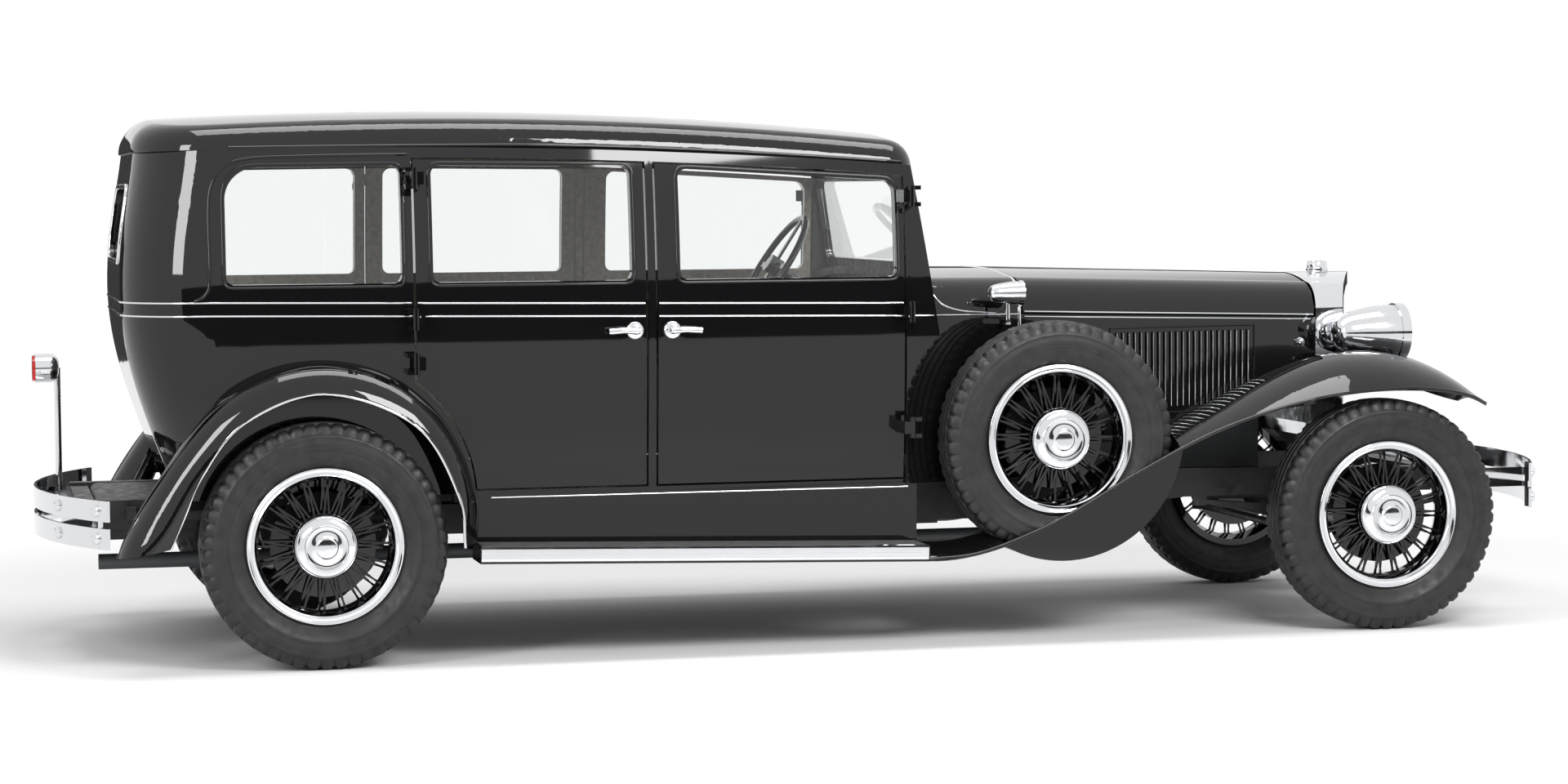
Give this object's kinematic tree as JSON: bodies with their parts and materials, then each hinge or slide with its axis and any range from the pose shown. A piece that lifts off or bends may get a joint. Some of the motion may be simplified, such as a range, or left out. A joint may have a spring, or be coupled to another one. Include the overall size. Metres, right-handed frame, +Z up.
{
  "type": "closed seven-seat saloon car of about 1931",
  "caption": "Long black closed saloon car of about 1931 with wire wheels, spare wheels in the front wings, hinged doors and a two-part bonnet.",
  "frame": {"origin": "on the ground, below the middle of the car's length", "axes": "+X forward, +Y to the car's left, +Z up"},
  "size_m": [5.338, 1.7748, 1.8213],
  "materials": {
    "black_paint": "gloss black coachwork paint",
    "chassis_paint": "satin black paint",
    "engine_iron": "satin grey",
    "chrome": "bright chrome plate",
    "grille": "satin metal",
    "glass": "clear",
    "rubber": "matt black",
    "wheel_steel": "gloss black with bright rim and hub",
    "trim_wood": "varnished",
    "black_plastic": "gloss",
    "upholstery": "woven wool cloth"
  },
  "bodies": {
    "car": {"bonnet_hinge": "black_paint", "bonnet_side_left": "black_paint", "bonnet_side_right": "black_paint", "chassis_frame": "chassis_paint", "dashboard": "trim_wood", "engine_block": "engine_iron", "exhaust": "engine_iron", "fixed_glass": "glass", "floor": "chassis_paint", "front_axle": "chassis_paint", "front_bumper": "chrome", "front_wing_left": "black_paint", "front_wing_right": "black_paint", "fuel_tank": "chassis_paint", "gearbox_and_shaft": "chassis_paint", "headlamps": "chrome", "lamp_lenses": "glass", "leaf_springs": "chassis_paint", "radiator_grille": "grille", "radiator_shell": "chrome", "rear_axle": "chassis_paint", "rear_body": "black_paint", "rear_bumper": "chrome", "rear_wing_left": "black_paint", "rear_wing_right": "black_paint", "roof": "black_paint", "running_board_left": "black_paint", "running_board_right": "black_paint", "scuttle": "black_paint", "seats": "upholstery", "side_frame_left": "black_paint", "side_frame_right": "black_paint", "side_lamps": "chrome", "spare_tyres": "rubber", "spare_wheels": "wheel_steel", "steering_column": "black_plastic", "tail_lamp": "chrome", "tow_eye": "chassis_paint"},
    "door_front_left": {"door_front_left": "black_paint", "door_glass_front_left": "glass"},
    "door_rear_left": {"door_rear_left": "black_paint", "door_glass_rear_left": "glass"},
    "bonnet_top_left": {"bonnet_top_left": "black_paint"},
    "knuckle_left": {"knuckle_left": "chassis_paint"},
    "wheel_front_left": {"wheel_front_left": "wheel_steel", "tyre_front_left": "rubber"},
    "wheel_rear_left": {"wheel_rear_left": "wheel_steel", "tyre_rear_left": "rubber"},
    "door_front_right": {"door_front_right": "black_paint", "door_glass_front_right": "glass"},
    "door_rear_right": {"door_rear_right": "black_paint", "door_glass_rear_right": "glass"},
    "bonnet_top_right": {"bonnet_top_right": "black_paint"},
    "knuckle_right": {"knuckle_right": "chassis_paint"},
    "wheel_front_right": {"wheel_front_right": "wheel_steel", "tyre_front_right": "rubber"},
    "wheel_rear_right": {"wheel_rear_right": "wheel_steel", "tyre_rear_right": "rubber"},
    "steering_wheel": {"steering_wheel": "black_plastic"},
    "track_rod": {"track_rod": "chassis_paint"}
  },
  "joints": [
    {"name": "front_door_left", "type": "hinge", "parent": "car", "child": "door_front_left", "pos_m": [0.217, 0.761, 1.1], "axis": [0, 0, -1], "range_deg": [0, 65]},
    {"name": "rear_door_left", "type": "hinge", "parent": "car", "child": "door_rear_left", "pos_m": [-1.459, 0.761, 1.1], "axis": [0, 0, 1], "range_deg": [0, 65]},
    {"name": "bonnet_left", "type": "hinge", "parent": "car", "child": "bonnet_top_left", "pos_m": [0.662, 0.015, 1.26], "axis": [0.9995, 0, -0.0304], "range_deg": [0, 50]},
    {"name": "spin_front_left", "type": "hinge", "parent": "knuckle_left", "child": "wheel_front_left", "pos_m": [1.915, 0.745, 0.402], "axis": [0, 1, 0], "continuous": true},
    {"name": "spin_rear_left", "type": "hinge", "parent": "car", "child": "wheel_rear_left", "pos_m": [-1.768, 0.745, 0.402], "axis": [0, 1, 0], "continuous": true},
    {"name": "front_door_right", "type": "hinge", "parent": "car", "child": "door_front_right", "pos_m": [0.217, -0.761, 1.1], "axis": [0, 0, 1], "range_deg": [0, 65]},
    {"name": "rear_door_right", "type": "hinge", "parent": "car", "child": "door_rear_right", "pos_m": [-1.459, -0.761, 1.1], "axis": [0, 0, -1], "range_deg": [0, 65]},
    {"name": "bonnet_right", "type": "hinge", "parent": "car", "child": "bonnet_top_right", "pos_m": [0.662, -0.015, 1.26], "axis": [-0.9995, 0, 0.0304], "range_deg": [0, 50]},
    {"name": "spin_front_right", "type": "hinge", "parent": "knuckle_right", "child": "wheel_front_right", "pos_m": [1.915, -0.745, 0.402], "axis": [0, 1, 0], "continuous": true},
    {"name": "spin_rear_right", "type": "hinge", "parent": "car", "child": "wheel_rear_right", "pos_m": [-1.768, -0.745, 0.402], "axis": [0, 1, 0], "continuous": true},
    {"name": "steer", "type": "hinge", "parent": "car", "child": "knuckle_left", "pos_m": [1.915, 0.625, 0.402], "axis": [0, 0, 1], "range_deg": [-30, 30]},
    {"name": "steer_right", "type": "hinge", "parent": "car", "child": "knuckle_right", "pos_m": [1.915, -0.625, 0.402], "axis": [0, 0, 1], "range_deg": [-30, 30]},
    {"name": "track_rod_pivot", "type": "hinge", "parent": "knuckle_left", "child": "track_rod", "pos_m": [1.745, 0.625, 0.318], "axis": [0, 0, 1], "range_deg": [-30, 30]},
    {"name": "steering_column_turn", "type": "hinge", "parent": "car", "child": "steering_wheel", "pos_m": [0, 0.35, 1.266], "axis": [-0.8387, 0, 0.5446], "range_deg": [-450, 450]}
  ],
  "couplings": [
    {"joint": "steer_right", "follows": "steer", "ratio": 1},
    {"joint": "track_rod_pivot", "follows": "steer", "ratio": -1},
    {"joint": "steering_column_turn", "follows": "steer", "ratio": 15}
  ]
}
